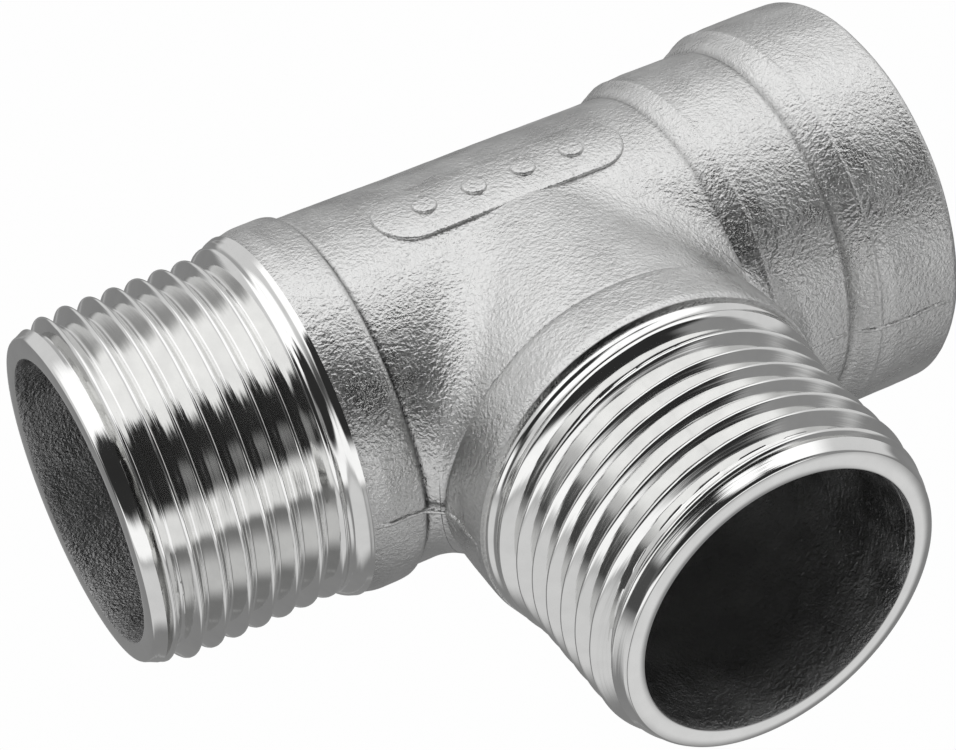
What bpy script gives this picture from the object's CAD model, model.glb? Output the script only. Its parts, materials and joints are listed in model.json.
import json
import math

import bmesh
import bpy
import numpy as np
from mathutils import Matrix, Vector, noise


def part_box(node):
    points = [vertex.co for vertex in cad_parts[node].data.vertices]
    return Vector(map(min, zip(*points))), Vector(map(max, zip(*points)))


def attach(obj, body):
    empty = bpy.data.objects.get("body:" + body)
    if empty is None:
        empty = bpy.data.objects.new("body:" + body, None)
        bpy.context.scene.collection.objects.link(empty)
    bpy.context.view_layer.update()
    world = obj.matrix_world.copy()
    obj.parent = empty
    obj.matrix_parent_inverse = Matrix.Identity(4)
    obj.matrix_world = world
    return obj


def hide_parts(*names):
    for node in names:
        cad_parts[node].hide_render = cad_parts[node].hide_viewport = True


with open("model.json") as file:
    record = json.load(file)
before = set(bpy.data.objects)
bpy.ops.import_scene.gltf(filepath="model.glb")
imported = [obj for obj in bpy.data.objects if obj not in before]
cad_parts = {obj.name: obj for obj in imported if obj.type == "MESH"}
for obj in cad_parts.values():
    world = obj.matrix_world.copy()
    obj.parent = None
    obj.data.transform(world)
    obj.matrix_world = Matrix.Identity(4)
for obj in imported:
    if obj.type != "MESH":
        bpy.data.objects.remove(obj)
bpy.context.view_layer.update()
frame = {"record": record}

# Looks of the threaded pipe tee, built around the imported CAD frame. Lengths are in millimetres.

MM = 0.001
BODY = "root"

# ---------------------------------------------------------------- sizes read from the frame


def low(node, axis):
    """Lowest coordinate of a CAD node along an axis, in millimetres."""
    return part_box(node)[0][axis] / MM


def high(node, axis):
    """Highest coordinate of a CAD node along an axis, in millimetres."""
    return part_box(node)[1][axis] / MM


def mount_radius(name):
    """Radius that the record states for a round mount, in millimetres."""
    for mount in frame["record"]["mounts"]:
        if mount["name"] == name:
            return mount["dims"]["r_mm"]
    raise ValueError(name)


BORE_R = mount_radius("run_bore")
CREST_R = mount_radius("run_thread")
MINOR_R = mount_radius("socket_thread")
BARREL_R = -low("tee_body", 2)
COLLAR_R = high("run_collar", 2)
NECK_R = high("socket_neck", 2)
BAND_R = high("socket_band", 2)
RUN_REACH = -low("run_end_rim", 0)
BRANCH_REACH = -low("branch_end_rim", 1)
THREAD_START = -low("run_collar", 0)
RUN_COLLAR_START = -high("run_collar", 0)
BRANCH_COLLAR_START = -high("branch_collar", 1)
NECK_START = low("socket_neck", 0)
BAND_START = low("socket_band", 0)
SOCKET_REACH = high("socket_band", 0)
SOCKET_FLOOR = low("socket_thread", 0)
LINER_R = high("socket_thread", 2)
RIM_LENGTH = high("run_end_rim", 0) + RUN_REACH
DEPTH = CREST_R - MINOR_R
PITCH = DEPTH / 0.640327            # depth of this thread form is 0.640327 of its pitch

# ---------------------------------------------------------------- build settings

COLUMNS = 256                       # vertices round every tube
CROTCH_ROWS = 64                    # rows between the crossing of the tubes and the collars
ROW_STEP = 0.14                     # spacing of the rows on the collars, neck and band
THREAD_STEP = 0.085                 # spacing of the rows on a thread
TAPER = 1 / 32                      # radius lost per millimetre on a taper thread
GAUGE_LENGTH = 10.4                 # from the end face to the full crest radius
FILLET_LOW = 4.2                    # blend radius in the crotch at mid height
FILLET_GAIN = 5.5                   # how much wider it gets towards the top and bottom
COLLAR_RISE = 1.5                   # length over which a collar steps up
NECK_SHOULDER = ([NECK_START, NECK_START + 0.9, NECK_START + 1.9, NECK_START + 4.0],
                 [0.0, 0.48, 0.86, 1.0])    # places along the run, share of the neck's rise
BAND_SHOULDER = ([BAND_START, BAND_START + 0.9, BAND_START + 2.3, BAND_START + 4.2],
                 [0.0, 0.42, 0.88, 1.0])    # the same for the band
BRANCH_CAST_SHIFT = (-0.22, 0.42)   # the cast collar sits a little off the machined axis (x, z)
SHOULDER_R = COLLAR_R - 0.22        # machined shoulder behind a thread
THREAD_TURN = {"run": 0.13, "branch": 0.0}    # where each helix starts, in turns
RUN_OUT = (0.5, 3.2)                # the thread deepens from nothing to full over these distances
LEAD_DROP = 1.15                    # how far the mouth of a male end lies below the crests
LEAD_SLOPE = 0.34                   # rise of the lead-in towards the crests

X_AXIS, Y_AXIS, Z_AXIS = np.eye(3)


def ease(value, start, end):
    """0 before start, 1 after end, smooth between."""
    t = np.clip((value - start) / (end - start), 0.0, 1.0)
    return t * t * (3 - 2 * t)


def swell(value, start, length, power=2.4):
    """Rounded step from 0 to 1: steep at its foot, flat at its top."""
    t = np.clip((value - start) / length, 0.0, 1.0)
    return (1 - (1 - t) ** power) ** (1 / power)


def bell(value, middle, width):
    """Narrow hump of height 1."""
    return np.exp(-((value - middle) / width) ** 2)


# ---------------------------------------------------------------- cast skin as an implicit shape


def run_radius(x):
    """Radius of the cast skin of the run at a place along it."""
    collar = swell(-x, RUN_COLLAR_START - 0.3, COLLAR_RISE) * (COLLAR_R - BARREL_R)
    collar = collar - 0.32 * ease(-x, THREAD_START - 2.0, THREAD_START)
    collar = collar - 0.14 * bell(-x, RUN_COLLAR_START - 0.35, 0.22)
    neck = np.interp(x, NECK_SHOULDER[0], NECK_SHOULDER[1]) * (NECK_R - BARREL_R)
    band = np.interp(x, BAND_SHOULDER[0], BAND_SHOULDER[1]) * (BAND_R - NECK_R)
    ridge = 0.09 * bell(x, BAND_SHOULDER[0][2] + 0.1, 0.22)
    ridge = ridge + 0.06 * bell(x, NECK_SHOULDER[0][2] + 0.1, 0.22)
    ridge = ridge - 0.08 * bell(x, BAND_SHOULDER[0][0], 0.25)
    mouth = 0.5 * (1 - np.sqrt(1 - np.clip((x - SOCKET_REACH + 0.7) / 0.7, 0, 0.999) ** 2))
    return BARREL_R + collar + neck + band + ridge - mouth


def branch_radius(y):
    """Radius of the cast skin of the branch at a place along it."""
    step = swell(-y, BRANCH_COLLAR_START - 0.3, COLLAR_RISE) * (COLLAR_R - BARREL_R)
    step = step - 0.14 * bell(-y, BRANCH_COLLAR_START - 0.35, 0.22)
    return BARREL_R + step - 0.15 * ease(-y, THREAD_START - 0.8, THREAD_START)


def cast_field(p):
    """Signed distance to the cast skin, with a rolling-ball blend between run and branch."""
    x, y, z = p[:, 0], p[:, 1], p[:, 2]
    shift = ease(-y, BRANCH_COLLAR_START - 1.5, THREAD_START)
    bx = x - BRANCH_CAST_SHIFT[0] * shift
    bz = z - BRANCH_CAST_SHIFT[1] * shift
    to_run = np.hypot(y, z)
    to_branch = np.hypot(bx, bz)
    run = to_run - run_radius(x)
    branch = to_branch - branch_radius(y)
    together = np.clip(z * bz / (to_run * to_branch + 1e-9), 0.0, 0.995)
    fillet = FILLET_LOW + FILLET_GAIN * together ** 1.5
    a = fillet - run
    b = fillet - branch
    squared = (a * a + b * b - 2 * a * b * together) / (1 - together ** 2)
    blended = fillet - np.sqrt(np.maximum(squared, 0))
    inside = (a > b * together) & (b > a * together) & (y < 0)
    both = np.where(inside, blended, np.minimum(run, branch))
    return np.where(y < 0, both, run)


def onto_skin(points, freedom):
    """Moves points onto the cast skin. freedom is 0 where a point keeps its place along its tube."""
    points = points.copy()
    step = 1e-3
    for _ in range(14):
        value = cast_field(points)
        slope = np.stack([(cast_field(points + step * axis) - value) / step
                          for axis in (X_AXIS, Y_AXIS, Z_AXIS)], axis=1)
        slope = slope * freedom
        size = np.maximum((slope ** 2).sum(axis=1), 0.2)
        points -= 0.8 * (value / size)[:, None] * slope
    return points


def relief(points, outward, seed, coarse, fine):
    """Adds the slight waviness and grain of a casting."""
    moved = points.copy()
    offset = Vector((seed * 17.3, seed * 5.1, seed * 9.7))
    for i, p in enumerate(points):
        v = Vector(p)
        wave = noise.noise(v * 0.16 + offset) * coarse + noise.noise(v * 0.85 + offset) * fine
        moved[i] += outward[i] * wave
    return moved


def turn():
    """Cosine and sine of evenly spaced angles."""
    angle = np.arange(COLUMNS) * 2 * math.pi / COLUMNS
    return np.cos(angle), np.sin(angle)


# ---------------------------------------------------------------- rows of the three cast arms


CROTCH_SPACING = [t + 0.5 * t * (1 - t) for t in np.linspace(0, 1, CROTCH_ROWS + 1)]


def run_arm(radius, side, ends):
    """Rows along the run towards side (-1 or +1). The front half starts on the branch's outline."""
    c, s = turn()
    y, z = radius * c, radius * s
    start = np.where(y < 0, -y, 0.0)
    rows = []
    for t in CROTCH_SPACING:
        rows.append(np.stack([side * (start + (ends[0] - start) * t), y, z], axis=1))
    for place in ends[1:]:
        rows.append(np.stack([np.full(COLUMNS, side * place), y, z], axis=1))
    return rows


def branch_arm(radius, ends):
    """Rows along the branch. They start on the run's outline."""
    c, s = turn()
    x, z = radius * c, radius * s
    start = np.abs(x)
    rows = []
    for t in CROTCH_SPACING:
        rows.append(np.stack([x, -(start + (ends[0] - start) * t), z], axis=1))
    for place in ends[1:]:
        rows.append(np.stack([x, np.full(COLUMNS, -place), z], axis=1))
    return rows


def places(*stops):
    """Evenly spaced places that pass exactly through every stop."""
    out = [stops[0]]
    for a, b in zip(stops, stops[1:]):
        count = max(1, round(abs(b - a) / ROW_STEP))
        out += [a + (b - a) * k / count for k in range(1, count + 1)]
    return out


def skin_rows(rows, along):
    """Rows pressed onto the cast skin and given a casting's relief. along is the arm's own axis."""
    done = []
    for i, row in enumerate(rows):
        hold = ease(np.array(float(i)), CROTCH_ROWS * 0.55, CROTCH_ROWS)
        freedom = np.ones((COLUMNS, 3))
        freedom[:, along] = 1 - hold
        done.append(onto_skin(row, freedom))
    points = np.concatenate(done)
    outward = points.copy()
    outward[:, along] = 0
    outward /= np.maximum(np.linalg.norm(outward, axis=1), 1e-6)[:, None]
    points = relief(points, outward, 1, 0.10, 0.02)
    return list(points.reshape(len(rows), COLUMNS, 3))


def bore_rows(rows, along):
    """Rows of the waterway with the rough skin of a cored hole."""
    points = np.concatenate(rows)
    outward = points.copy()
    outward[:, along] = 0
    outward /= np.maximum(np.linalg.norm(outward, axis=1), 1e-6)[:, None]
    points = relief(points, outward, 2, 0.12, 0.06)
    return list(points.reshape(len(rows), COLUMNS, 3))


# ---------------------------------------------------------------- mesh helpers


def grid_faces(count, first=0, closed=False):
    """Quads between rows that go all the way round."""
    faces = []
    last = count if closed else count - 1
    for i in range(last):
        a = first + i * COLUMNS
        b = first + ((i + 1) % count) * COLUMNS
        for j in range(COLUMNS):
            k = (j + 1) % COLUMNS
            faces.append((a + j, a + k, b + k, b + j))
    return faces


def hollow_amount(p):
    """0 to 1: how much dark residue a point of the casting holds, in the feet of its steps."""
    x, y, z = p
    run, branch = math.hypot(y, z), math.hypot(x, z)
    amount = 0.0
    if run < COLLAR_R + 0.3 and run > BORE_R + 1:
        amount = max(amount, 0.8 * bell(-x, RUN_COLLAR_START - 0.3, 0.22))
        amount = max(amount, 0.35 * bell(x, NECK_START, 0.25))
    if BORE_R + 1 < branch < COLLAR_R + 0.8 and y < -BARREL_R:
        amount = max(amount, 0.7 * bell(-y, BRANCH_COLLAR_START - 0.3, 0.22))
        if y < 0.02 - THREAD_START:
            amount = max(amount, bell(math.degrees(math.atan2(z, x)), 106, 28))
    if run < NECK_R + 0.3:
        amount = max(amount, 0.35 * bell(x, BAND_START, 0.25))
    return float(amount)


def finish_mesh(name, points, faces, material, replaced, smooth_angle=38, weld=2e-4):
    """Object in metres, welded where points agree, that rides on the body and replaces CAD nodes."""
    mesh = bpy.data.meshes.new(name)
    mesh.from_pydata([tuple(p) for p in np.asarray(points) * MM], [], faces)
    bm = bmesh.new()
    bm.from_mesh(mesh)
    bmesh.ops.remove_doubles(bm, verts=bm.verts, dist=weld * MM)
    bmesh.ops.recalc_face_normals(bm, faces=bm.faces)
    limit = math.radians(smooth_angle)
    for face in bm.faces:
        face.smooth = True
    for edge in bm.edges:
        if len(edge.link_faces) == 2 and edge.calc_face_angle(0.0) > limit:
            edge.smooth = False
    bm.to_mesh(mesh)
    bm.free()
    if material is CAST:
        hollow = mesh.attributes.new("hollow", "FLOAT", "POINT")
        for vertex in mesh.vertices:
            hollow.data[vertex.index].value = hollow_amount(vertex.co / MM)
    mesh.materials.append(material)
    piece = bpy.data.objects.new(name, mesh)
    bpy.context.collection.objects.link(piece)
    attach(piece, BODY)
    for node in replaced:
        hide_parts(node)
    return piece


def ring_piece(name, rows, material, replaced, smooth_angle=38):
    """A closed ring made of rows that run out along the outside and back along the inside."""
    points = np.concatenate(rows)
    return finish_mesh(name, points, grid_faces(len(rows), closed=True), material, replaced,
                       smooth_angle)


def revolved(profile, axis):
    """Rows from (distance, radius) pairs. axis is 'run', 'branch' or 'socket'."""
    c, s = turn()
    rows = []
    for distance, radius in profile:
        r = np.broadcast_to(radius, (COLUMNS,))
        d = np.broadcast_to(distance, (COLUMNS,))
        if axis == "run":
            rows.append(np.stack([-d, r * c, r * s], axis=1))
        elif axis == "branch":
            rows.append(np.stack([r * c, -d, r * s], axis=1))
        else:
            rows.append(np.stack([d, r * c, r * s], axis=1))
    return rows


# ---------------------------------------------------------------- materials


def new_material(name):
    """A material with its nodes, links and main shader."""
    material = bpy.data.materials.new(name)
    material.use_nodes = True
    nodes = material.node_tree.nodes
    return material, nodes, material.node_tree.links, nodes["Principled BSDF"]


def add_noise(nodes, links, vector, scale, detail, roughness=0.55):
    """Noise with its scale in features per metre."""
    texture = nodes.new("ShaderNodeTexNoise")
    texture.inputs["Scale"].default_value = scale
    texture.inputs["Detail"].default_value = detail
    texture.inputs["Roughness"].default_value = roughness
    links.new(vector, texture.inputs["Vector"])
    return texture.outputs["Fac"]


def add_ramp(nodes, links, value, low_end, high_end, from_value, to_value):
    """Maps a value range onto another one, clamped."""
    ramp = nodes.new("ShaderNodeMapRange")
    ramp.inputs["From Min"].default_value = low_end
    ramp.inputs["From Max"].default_value = high_end
    ramp.inputs["To Min"].default_value = from_value
    ramp.inputs["To Max"].default_value = to_value
    links.new(value, ramp.inputs["Value"])
    return ramp.outputs["Result"]


def add_bump(nodes, links, height, distance, strength, below=None):
    """A bump with its distance in millimetres, on top of another one if given."""
    bump = nodes.new("ShaderNodeBump")
    bump.inputs["Distance"].default_value = distance * MM
    bump.inputs["Strength"].default_value = strength
    links.new(height, bump.inputs["Height"])
    if below is not None:
        links.new(below, bump.inputs["Normal"])
    return bump.outputs["Normal"]


def add_tint(nodes, links, value, dark, light):
    """Colour between two greys."""
    mix = nodes.new("ShaderNodeMix")
    mix.data_type = "RGBA"
    mix.inputs["A"].default_value = (*dark, 1)
    mix.inputs["B"].default_value = (*light, 1)
    links.new(value, mix.inputs["Factor"])
    return mix.outputs["Result"]


def cast_material(name, dark, light, rough_low, rough_high, grain):
    """Blasted stainless casting: pebbly grain, small pits and patches of uneven gloss."""
    material, nodes, links, shader = new_material(name)
    place = nodes.new("ShaderNodeTexCoord").outputs["Object"]
    shader.inputs["Metallic"].default_value = 1.0
    patches = add_noise(nodes, links, place, 260, 3)
    pebbles = add_noise(nodes, links, place, 2300, 3, 0.55)
    fine = add_noise(nodes, links, place, 4300, 2)
    hollows = nodes.new("ShaderNodeAttribute")
    hollows.attribute_name = "hollow"
    tint = add_tint(nodes, links, patches, dark, light)
    soiled = nodes.new("ShaderNodeMix")
    soiled.data_type = "RGBA"
    soiled.inputs["B"].default_value = (0.05, 0.05, 0.05, 1)
    links.new(tint, soiled.inputs["A"])
    links.new(hollows.outputs["Fac"], soiled.inputs["Factor"])
    links.new(soiled.outputs["Result"], shader.inputs["Base Color"])
    links.new(add_ramp(nodes, links, patches, 0.35, 0.65, rough_low, rough_high),
              shader.inputs["Roughness"])
    normal = add_bump(nodes, links, pebbles, 0.13, 0.85 * grain)
    normal = add_bump(nodes, links, fine, 0.07, 0.8 * grain, normal)
    links.new(normal, shader.inputs["Normal"])
    return material


def turned_material(name, along, roughness, line_strength):
    """Bright turned stainless: fine lines that run round the axis, with faint chatter."""
    material, nodes, links, shader = new_material(name)
    place = nodes.new("ShaderNodeTexCoord").outputs["Object"]
    shader.inputs["Metallic"].default_value = 1.0
    stretch = nodes.new("ShaderNodeVectorMath")
    stretch.operation = "MULTIPLY"
    scale = [70.0, 70.0, 70.0]
    scale[along] = 6000.0
    stretch.inputs[1].default_value = scale
    links.new(place, stretch.inputs[0])
    lines = add_noise(nodes, links, stretch.outputs["Vector"], 1.0, 3)
    smears = add_noise(nodes, links, place, 420, 3)
    links.new(add_tint(nodes, links, smears, (0.69, 0.69, 0.685), (0.84, 0.84, 0.83)),
              shader.inputs["Base Color"])
    links.new(add_ramp(nodes, links, smears, 0.3, 0.7, roughness * 0.75, roughness * 1.35),
              shader.inputs["Roughness"])
    normal = add_bump(nodes, links, lines, 0.03, line_strength)
    normal = add_bump(nodes, links, add_noise(nodes, links, place, 700, 2), 0.05, 0.03, normal)
    links.new(normal, shader.inputs["Normal"])
    return material


CAST = cast_material("cast_stainless", (0.52, 0.52, 0.516), (0.76, 0.76, 0.755), 0.25, 0.36, 1.15)
BORE = cast_material("cored_stainless", (0.22, 0.22, 0.22), (0.52, 0.52, 0.52), 0.40, 0.60, 1.6)
RUN_TURNED = turned_material("turned_stainless_run", 0, 0.075, 0.3)
BRANCH_TURNED = turned_material("turned_stainless_branch", 1, 0.075, 0.3)

# ---------------------------------------------------------------- cast pieces


def join_rows(groups):
    """Points and faces of several sets of rows, each open at both ends."""
    points, faces, first = [], [], 0
    for rows in groups:
        points += list(np.concatenate(rows))
        faces += grid_faces(len(rows), first)
        first += len(rows) * COLUMNS
    return np.array(points), faces


def add_end_ring(faces, outer_row, inner_row):
    """Flat ring between the last outside row and the last inside row."""
    for j in range(COLUMNS):
        k = (j + 1) % COLUMNS
        faces.append((outer_row + j, outer_row + k, inner_row + k, inner_row + j))


def round_axis(axis):
    """Distance of a point from the axis of the run, the branch, or the nearer of both."""
    if axis == "run":
        return lambda c: math.hypot(c.y, c.z)
    if axis == "branch":
        return lambda c: math.hypot(c.x, c.z)
    return lambda c: min(math.hypot(c.y, c.z), math.hypot(c.x, c.z) if c.y < 0 else math.inf)


def paint_inside(piece, radius, distance_of):
    """Gives the waterway its own rough material: faces that lie near the bore radius."""
    piece.data.materials.append(BORE)
    for polygon in piece.data.polygons:
        if distance_of(polygon.center / MM) < radius:
            polygon.material_index = 1


def make_cast_pieces():
    """The cast body, both collars, the neck and the band.

    The arms of the body meet in the crotch. relief() moves their shared points differently, so they
    do not weld everywhere there. Beside the branch the socket's rows fold back over its root.
    """
    run_stops = places(RUN_COLLAR_START, THREAD_START)
    branch_stops = places(BRANCH_COLLAR_START, THREAD_START)
    socket_stops = places(NECK_START, BAND_START, SOCKET_REACH)
    outer_run = skin_rows(run_arm(BARREL_R, -1, run_stops), 0)
    outer_socket = skin_rows(run_arm(BARREL_R, 1, socket_stops), 0)
    outer_branch = skin_rows(branch_arm(BARREL_R, branch_stops), 1)
    inner_run = bore_rows(run_arm(BORE_R, -1, run_stops), 0)
    inner_socket = bore_rows(run_arm(BORE_R, 1, places(NECK_START, SOCKET_FLOOR)), 0)
    inner_branch = bore_rows(branch_arm(BORE_R, branch_stops), 1)

    edge = CROTCH_ROWS + 1
    groups = [outer_run[:edge], outer_branch[:edge], outer_socket[:edge],
              inner_run[:edge], inner_branch[:edge], inner_socket[:edge]]
    points, faces = join_rows(groups)
    span = edge * COLUMNS
    for k in range(3):
        add_end_ring(faces, (k + 1) * span - COLUMNS, (k + 4) * span - COLUMNS)
    body = finish_mesh("cast_body", points, faces, CAST, ["tee_body"], weld=2e-3)
    paint_inside(body, BORE_R + 0.6, round_axis("both"))

    collars = [("run", outer_run, inner_run), ("branch", outer_branch, inner_branch)]
    for axis, outer, inner in collars:
        rows = outer[CROTCH_ROWS:] + inner[CROTCH_ROWS:][::-1]
        piece = ring_piece(f"cast_{axis}_collar", rows, CAST, [f"{axis}_collar"])
        paint_inside(piece, BORE_R + 0.6, round_axis(axis))

    neck_rows = len(places(NECK_START, BAND_START))
    outer_neck = outer_socket[CROTCH_ROWS:CROTCH_ROWS + neck_rows]
    liner = revolved([(BAND_START, LINER_R), (SOCKET_FLOOR, LINER_R)], "socket")
    neck = ring_piece("cast_socket_neck", outer_neck + liner + inner_socket[CROTCH_ROWS:][::-1],
                      CAST, ["socket_neck"])
    paint_inside(neck, BORE_R + 0.6, round_axis("run"))
    outer_band = outer_socket[CROTCH_ROWS + neck_rows - 1:]
    sleeve = revolved([(SOCKET_REACH, LINER_R), (BAND_START, LINER_R)], "socket")
    ring_piece("cast_socket_band", outer_band + sleeve, CAST, ["socket_band"])


# ---------------------------------------------------------------- threads


def thread_groove(phase):
    """0 on the crest, 1 in the root, for a phase that counts turns from a crest."""
    across = np.abs((phase + 0.5) % 1.0 - 0.5) * 2
    place = np.linspace(0, 1, 201)
    slope = np.interp(place, [0, 0.05, 0.15, 0.88, 0.96, 1], [0, 0.03, 1, 1, 0, 0])
    fall = np.cumsum(slope)
    return np.interp(across, place, fall / fall[-1])


def male_radius(distance, angle, reach, shoulder_length, start_turn):
    """Radius of a male taper thread. distance is from the centre, angle in turns."""
    from_end = reach - distance
    from_start = distance - THREAD_START
    crest = np.minimum(CREST_R, CREST_R - (GAUGE_LENGTH - from_end) * TAPER)
    lead = CREST_R - LEAD_DROP + LEAD_SLOPE * from_end
    shoulder = SHOULDER_R - (SHOULDER_R - CREST_R) * np.clip(from_start / shoulder_length, 0, 1)
    crest = np.minimum(np.maximum(crest, shoulder), lead)
    deepest = DEPTH * np.clip((from_start - RUN_OUT[0]) / (RUN_OUT[1] - RUN_OUT[0]), 0, 1)
    groove = deepest * thread_groove(distance / PITCH - angle - start_turn)
    return np.maximum(crest - groove, np.minimum(crest, CREST_R - DEPTH))


def male_thread(name, axis, reach, shoulder_length, material, replaced):
    """One male thread with a true helix, its run-out and the waterway inside it."""
    length = reach - RIM_LENGTH - THREAD_START
    count = round(length / THREAD_STEP)
    angle = np.arange(COLUMNS) / COLUMNS
    profile = []
    for i in range(count + 1):
        distance = THREAD_START + length * i / count
        along = np.full(COLUMNS, distance)
        profile.append((distance, male_radius(along, angle, reach, shoulder_length,
                                              THREAD_TURN[axis])))
    outer = revolved(profile, axis)
    inner = [(reach - RIM_LENGTH - length * i / 40, BORE_R) for i in range(41)]
    inner = bore_rows(revolved(inner, axis), 0 if axis == "run" else 1)
    piece = ring_piece(name, outer + inner, material, replaced, 50)
    paint_inside(piece, BORE_R + 0.6, round_axis(axis))


def end_rim(name, axis, reach, material, replaced):
    """The plain turned rim at the mouth of a male end, with a broken edge inside and outside."""
    start = reach - RIM_LENGTH
    outer_r = CREST_R - LEAD_DROP + LEAD_SLOPE * RIM_LENGTH
    mouth_r = CREST_R - LEAD_DROP
    profile = [(start, outer_r), (reach - 0.6, mouth_r + 0.12), (reach - 0.22, mouth_r - 0.02),
               (reach - 0.05, mouth_r - 0.14), (reach, mouth_r - 0.28), (reach, BORE_R + 0.9),
               (reach, BORE_R + 0.16), (reach - 0.04, BORE_R + 0.05), (reach - 0.14, BORE_R),
               (start, BORE_R)]
    piece = ring_piece(name, revolved(profile, axis), material, replaced, 40)
    paint_inside(piece, BORE_R + 0.03, round_axis(axis))


def socket_thread():
    """The female thread inside the socket, with a chamfered mouth."""
    length = SOCKET_REACH - SOCKET_FLOOR
    count = round(length / THREAD_STEP)
    angle = np.arange(COLUMNS) / COLUMNS
    profile = []
    for i in range(count + 1):
        distance = SOCKET_REACH - length * i / count
        depth = DEPTH * ease(distance, SOCKET_FLOOR + 1.0, SOCKET_FLOOR + 3.5)
        radius = MINOR_R + depth * (1 - thread_groove(distance / PITCH - angle + 0.5))
        chamfer = CREST_R + 0.2 - (SOCKET_REACH - distance) * 0.9
        profile.append((distance, np.maximum(radius, chamfer)))
    inner = revolved(profile, "socket")
    outer = revolved([(SOCKET_FLOOR, LINER_R), (SOCKET_REACH, LINER_R)], "socket")
    ring_piece("turned_socket_thread", inner + outer, RUN_TURNED,
               ["socket_thread"], 40)


# ---------------------------------------------------------------- cast marks


def on_barrel(x, across, lift):
    """A point on top of the run: across is measured round the barrel, lift above it."""
    angle = across / BARREL_R
    r = BARREL_R + lift
    return (x, -r * math.sin(angle), r * math.cos(angle))


def raised_patch(name, outline, centre, height, foot, node, base=0.0):
    """A low raised patch on the barrel: an outline scaled inward in rounded steps."""
    steps = [(1.0, -0.25), (1.0, 0.0), (0.985, 0.55 * height), (0.955, 0.9 * height),
             (0.90, height), (0.6, height), (0.3, height)]
    points, faces = [], []
    count = len(outline)
    for size, lift in steps:
        for along, across in outline:
            inset = foot * (1 - size) * 4
            reach = math.hypot(along, across)
            keep = max(0.0, 1 - inset / reach) if size > 0.85 else size
            points.append(on_barrel(centre + along * keep, across * keep, base + lift))
    for k in range(len(steps) - 1):
        for j in range(count):
            n = (j + 1) % count
            faces.append((k * count + j, k * count + n, (k + 1) * count + n, (k + 1) * count + j))
    top = len(points)
    points.append(on_barrel(centre, 0, base + height))
    bottom = len(points)
    points.append(on_barrel(centre, 0, base - 0.25))
    last = (len(steps) - 1) * count
    for j in range(count):
        n = (j + 1) % count
        faces.append((last + j, last + n, top))
        faces.append((n, j, bottom))
    return finish_mesh(name, points, faces, CAST, [node] if node else [], 60)


def slot_outline(length, width, count=18):
    """Stadium outline, centred on zero."""
    flat = (length - width) / 2
    points = []
    for side in (1, -1):
        for i in range(count + 1):
            a = math.pi * (i / count - 0.5)
            points.append((side * (flat + width / 2 * math.cos(a)), side * width / 2 * math.sin(a)))
        for i in range(1, 12):
            points.append((side * flat * (1 - i / 6), side * width / 2))
    return points


PAD_LIFT, PAD_FOOT = 0.3, 0.9
PIP_COUNT, PIP_SIDES = 4, 32
PIP_BASE, PIP_LIFT, PIP_FOOT = 0.28, 0.32, 0.6


def make_marks():
    """The plain raised pad on top of the run and its row of pips."""
    length = high("marking_pad", 0) - low("marking_pad", 0)
    width = high("marking_pad", 1) - low("marking_pad", 1)
    centre = (high("marking_pad", 0) + low("marking_pad", 0)) / 2
    raised_patch("cast_marking_pad", slot_outline(length, width), centre, PAD_LIFT, PAD_FOOT,
                 "marking_pad")
    first = low("marking_pips", 0)
    last = high("marking_pips", 0)
    across = high("marking_pips", 1) - low("marking_pips", 1)
    for i in range(PIP_COUNT):
        x = first + across / 2 + (last - first - across) * i / (PIP_COUNT - 1)
        round_outline = [(across / 2 * math.cos(a), across / 2 * math.sin(a))
                         for a in (2 * math.pi * k / PIP_SIDES for k in range(PIP_SIDES))]
        raised_patch(f"cast_pip_{i + 1}", round_outline, x, PIP_LIFT, PIP_FOOT,
                     "marking_pips" if i == 0 else None, PIP_BASE)


SEAM_WIDTH, SEAM_HEIGHT = 0.6, 0.24
SEAM_STEP = 0.3                     # spacing of the points along a seam


def seam_ridge(name, route, width, height, node):
    """A low uneven ridge along a route of (point, outward direction) pairs in the parting plane."""
    points, faces = [], []
    section = [(-0.5, -0.3), (-0.45, 0.15), (-0.2, 0.85), (0.05, 1.0), (0.3, 0.6), (0.5, -0.3)]
    count = len(section)
    for i, (point, outward) in enumerate(route):
        uneven = 0.75 + 0.6 * noise.noise(Vector((point[0] * 0.9, point[1] * 0.9, 3.1)))
        fade = min(1.0, 0.25 * i, 0.25 * (len(route) - 1 - i))
        for across, up in section:
            lift = up * height * uneven * (fade if up > 0 else 1)
            wander = 0.10 * noise.noise(Vector((point[0] * 0.6, point[1] * 0.6, 8.7)))
            points.append((point[0] + outward[0] * lift, point[1] + outward[1] * lift,
                           across * width + wander))
    for i in range(len(route) - 1):
        for j in range(count):
            k = (j + 1) % count
            a, b = i * count, (i + 1) * count
            faces.append((a + j, a + k, b + k, b + j))
    faces.append(tuple(range(count)))
    faces.append(tuple(reversed(range((len(route) - 1) * count, len(route) * count))))
    return finish_mesh(name, points, faces, CAST, [node] if node else [], 70)


def straight_seam(start, end, side):
    """Route along the run's outline on the back (+1) or front (-1) side."""
    count = max(4, round(abs(end - start) / SEAM_STEP))
    route = []
    for i in range(count + 1):
        x = start + (end - start) * i / count
        y = side * float(run_radius(np.array(x)))
        route.append(((x, y), (0.0, float(side))))
    return route


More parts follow.
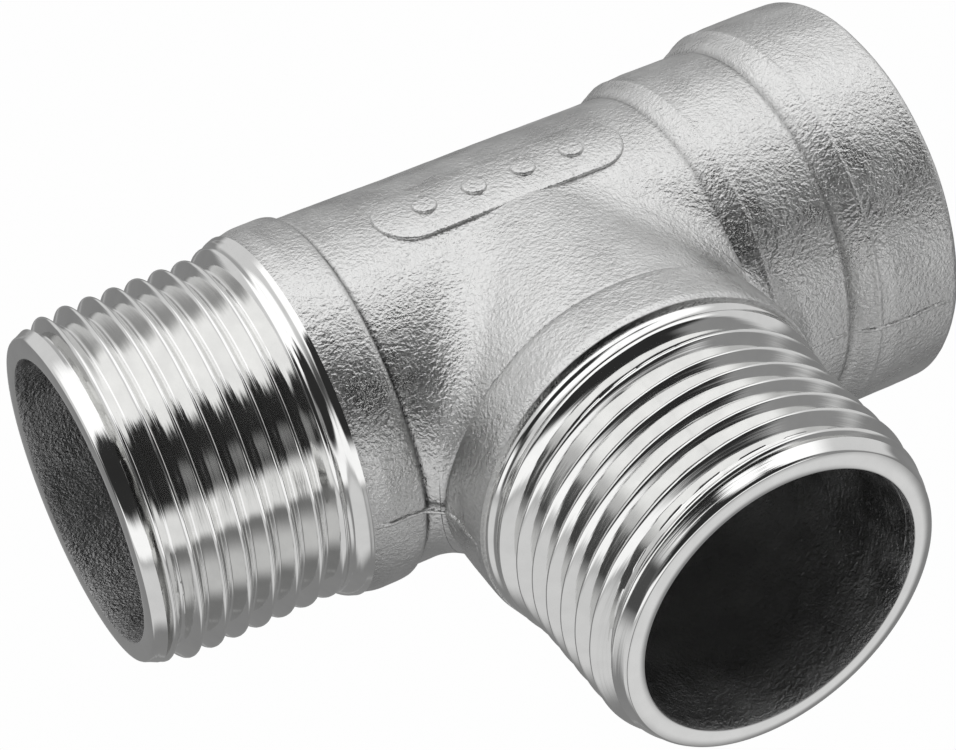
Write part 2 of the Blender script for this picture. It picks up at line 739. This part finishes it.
def corner_seam(side, reach):
    """Route round one corner: in along the run from reach, round the blend, out to the thread."""
    run_r = COLLAR_R if side < 0 else NECK_R
    centre = np.array([side * (COLLAR_R + FILLET_LOW), -(run_r + FILLET_LOW), 0.0])
    guesses = []
    for x in np.arange(reach, abs(centre[0]), -SEAM_STEP):
        guesses.append(((side * x, -run_r, 0.0), (0.0, -1.0), (0, 1, 0)))
    for a in np.linspace(math.pi / 2, 0, 22):
        outward = np.array([side * math.cos(a), -math.sin(a), 0.0])
        guesses.append((centre - FILLET_LOW * outward, (outward[0], outward[1]), (1, 1, 0)))
    for y in np.arange(abs(centre[1]), THREAD_START - SEAM_STEP, SEAM_STEP):
        guesses.append(((side * COLLAR_R, -y, 0.0), (float(side), 0.0), (1, 0, 0)))
    spots = onto_skin(np.array([g[0] for g in guesses]), np.array([g[2] for g in guesses], float))
    return [((spot[0], spot[1]), guess[1]) for spot, guess in zip(spots, guesses)]


def make_seams():
    """Parting ridges on the front and back of the casting."""
    routes = [
        ("back", straight_seam(0.5 - THREAD_START, SOCKET_REACH - 0.8, 1)),
        ("left_corner", corner_seam(-1, THREAD_START - 0.3)),
        ("right_corner", corner_seam(1, BAND_START - 0.2)),
        ("band", straight_seam(BAND_START, SOCKET_REACH - 0.8, -1)),
    ]
    for word, route in routes:
        node = "parting_line" if word == "back" else None
        seam_ridge(f"cast_seam_{word}", route, SEAM_WIDTH, SEAM_HEIGHT, node)


# ---------------------------------------------------------------- camera, light and floor


SENSOR_WIDTH = 36                   # millimetres
LENS = 100.9205
CAMERA_ANGLES = (-26.96, 40.48, -4.23)    # azimuth, elevation and roll in degrees
CAMERA_DISTANCE = 252.7
AIM_RIGHT, AIM_UP = -3.57, -4.94    # the camera slides by this much across its own view


def make_camera():
    """Perspective camera at the photograph's viewing angle."""
    data = bpy.data.cameras.new("camera")
    camera = bpy.data.objects.new("camera", data)
    bpy.context.collection.objects.link(camera)
    data.sensor_width = SENSOR_WIDTH
    data.lens = LENS
    azimuth, elevation, roll = map(math.radians, CAMERA_ANGLES)
    back = Vector((math.cos(elevation) * math.sin(azimuth),
                   -math.cos(elevation) * math.cos(azimuth), math.sin(elevation)))
    right = Vector((0, 0, 1)).cross(back).normalized()
    up = back.cross(right)
    right, up = (math.cos(roll) * right + math.sin(roll) * up,
                 -math.sin(roll) * right + math.cos(roll) * up)
    where = back * CAMERA_DISTANCE + right * AIM_RIGHT + up * AIM_UP
    matrix = Matrix((right, up, back)).transposed().to_4x4()
    matrix.translation = where * MM
    camera.matrix_world = matrix
    data.clip_start, data.clip_end = 0.01, 20
    bpy.context.scene.camera = camera


class Sky:
    """Builds the studio light as a function of direction."""

    def __init__(self):
        world = bpy.data.worlds.new("studio")
        bpy.context.scene.world = world
        world.use_nodes = True
        self.nodes, self.links = world.node_tree.nodes, world.node_tree.links
        self.background = self.nodes["Background"]
        self.background.inputs["Color"].default_value = (1, 1, 1, 1)
        way = self.nodes.new("ShaderNodeTexCoord").outputs["Generated"]
        split = self.nodes.new("ShaderNodeSeparateXYZ")
        self.links.new(way, split.inputs["Vector"])
        forward = self.math("MULTIPLY", split.outputs["Y"], -1.0)
        round_about = self.math("ARCTAN2", split.outputs["X"], forward)
        upward = self.math("ARCSINE", split.outputs["Z"])
        self.azimuth = self.math("MULTIPLY", round_about, math.degrees(1))
        self.elevation = self.math("MULTIPLY", upward, math.degrees(1))

    def math(self, operation, *values):
        """One arithmetic node. Values are sockets or plain numbers."""
        node = self.nodes.new("ShaderNodeMath")
        node.operation = operation
        for socket, value in zip(node.inputs, values):
            if isinstance(value, float):
                socket.default_value = value
            else:
                self.links.new(value, socket)
        return node.outputs[0]

    def value(self, number):
        """A node that holds one number."""
        node = self.nodes.new("ShaderNodeValue")
        node.outputs[0].default_value = number
        return node.outputs[0]

    def step(self, source, start, end):
        """0 at start and 1 at end of a direction component, smooth between."""
        node = self.nodes.new("ShaderNodeMapRange")
        node.interpolation_type = "SMOOTHSTEP"
        node.inputs["From Min"].default_value = start
        node.inputs["From Max"].default_value = end
        self.links.new(source, node.inputs["Value"])
        return node.outputs["Result"]

    def panel(self, left, right, lowest, highest, soft):
        """Mask of a rectangle in azimuth and elevation with soft edges."""
        across = self.math("MULTIPLY", self.step(self.azimuth, left - soft, left + soft),
                           self.step(self.azimuth, right + soft, right - soft))
        up = self.math("MULTIPLY", self.step(self.elevation, lowest - soft, lowest + soft),
                       self.step(self.elevation, highest + soft, highest - soft))
        return self.math("MULTIPLY", across, up)

    def paint(self, under, level, mask):
        """Replaces the light level where the mask is 1."""
        node = self.nodes.new("ShaderNodeMix")
        self.links.new(mask, node.inputs["Factor"])
        self.links.new(under, node.inputs["A"])
        node.inputs["B"].default_value = level
        return node.outputs["Result"]


# The studio, later panels over earlier ones. Degrees round from the front (+ towards the socket)
# and degrees up: from, to, lowest, highest, softness, level.
ROOM_LEVEL = 0.75
PANELS = [
    (-181, 181, 38, 91, 8, 1.35),           # softbox overhead
    (-181, 181, -91, -8, 5, 0.26),          # grey table
    (-95, -18, -62, -14, 8, 0.75),          # white card low on the left
    (6, 46, -58, -27, 9, 0.80),             # white card low on the right
    (-76, 60, 13, 74, 5, 0.03),             # dark room behind the camera
    (-74, 34, -12, 10, 4, 1.20),             # low light strip in front
    (34, 60, -9, 30, 5, 0.30),              # grey flag on the right
    (-100, -74, -9, 26, 5, 0.08),           # black flag on the left
    (146, 171, -9, 40, 8, 0.42),            # grey wall behind
]


def make_light():
    """Soft studio: a light room with a softbox, a strip, cards and flags over a grey table."""
    sky = Sky()
    level = sky.value(ROOM_LEVEL)
    for left, right, lowest, highest, soft, amount in PANELS:
        level = sky.paint(level, amount, sky.panel(left, right, lowest, highest, soft))
    sky.links.new(level, sky.background.inputs["Strength"])
    bpy.context.scene.view_settings.view_transform = "Standard"


STAGE_SIZE = 3.0                    # metres from the object to the edge of the floor
DOME_COLUMNS, DOME_ROWS = 96, 24


def stage_piece(name, points, faces, material):
    """A piece of the stage: the camera sees it, the metal's reflections do not."""
    mesh = bpy.data.meshes.new(name)
    mesh.from_pydata(points, [], faces)
    mesh.materials.append(material)
    piece = bpy.data.objects.new(name, mesh)
    bpy.context.collection.objects.link(piece)
    piece.visible_glossy = False
    piece.visible_diffuse = False
    return piece


def make_stage():
    """Pale floor, and a pale dome behind it so that every view has the same plain background."""
    material, _, _, shader = new_material("pale_stage")
    shader.inputs["Base Color"].default_value = (0, 0, 0, 1)
    shader.inputs["Roughness"].default_value = 1.0
    shader.inputs["Specular IOR Level"].default_value = 0.0
    shader.inputs["Emission Color"].default_value = (1, 1, 1, 1)
    shader.inputs["Emission Strength"].default_value = 0.99

    size, level = STAGE_SIZE, (-BAND_R - 0.4) * MM
    corners = [(-size, -size, level), (size, -size, level), (size, size, level), (-size, size, level)]
    stage_piece("floor", corners, [(0, 1, 2, 3)], material)

    points, faces = [], []
    for k in range(DOME_ROWS + 1):
        up = math.radians(-2 + 92 * k / DOME_ROWS)
        for j in range(DOME_COLUMNS):
            around = 2 * math.pi * j / DOME_COLUMNS
            points.append((size * math.cos(up) * math.cos(around),
                           size * math.cos(up) * math.sin(around), size * math.sin(up)))
    for k in range(DOME_ROWS):
        for j in range(DOME_COLUMNS):
            a, b = k * DOME_COLUMNS + j, k * DOME_COLUMNS + (j + 1) % DOME_COLUMNS
            faces.append((a, b, b + DOME_COLUMNS, a + DOME_COLUMNS))
    dome = stage_piece("backdrop", points, faces, material)
    dome.visible_shadow = False


make_camera()
make_light()
make_stage()
make_cast_pieces()
male_thread("turned_run_thread", "run", RUN_REACH, 2.5, RUN_TURNED, ["run_thread"])
male_thread("turned_branch_thread", "branch", BRANCH_REACH, 5.2, BRANCH_TURNED,
            ["branch_thread"])
end_rim("turned_run_rim", "run", RUN_REACH, RUN_TURNED, ["run_end_rim"])
end_rim("turned_branch_rim", "branch", BRANCH_REACH, BRANCH_TURNED,
        ["branch_end_rim"])
socket_thread()
make_marks()
make_seams()
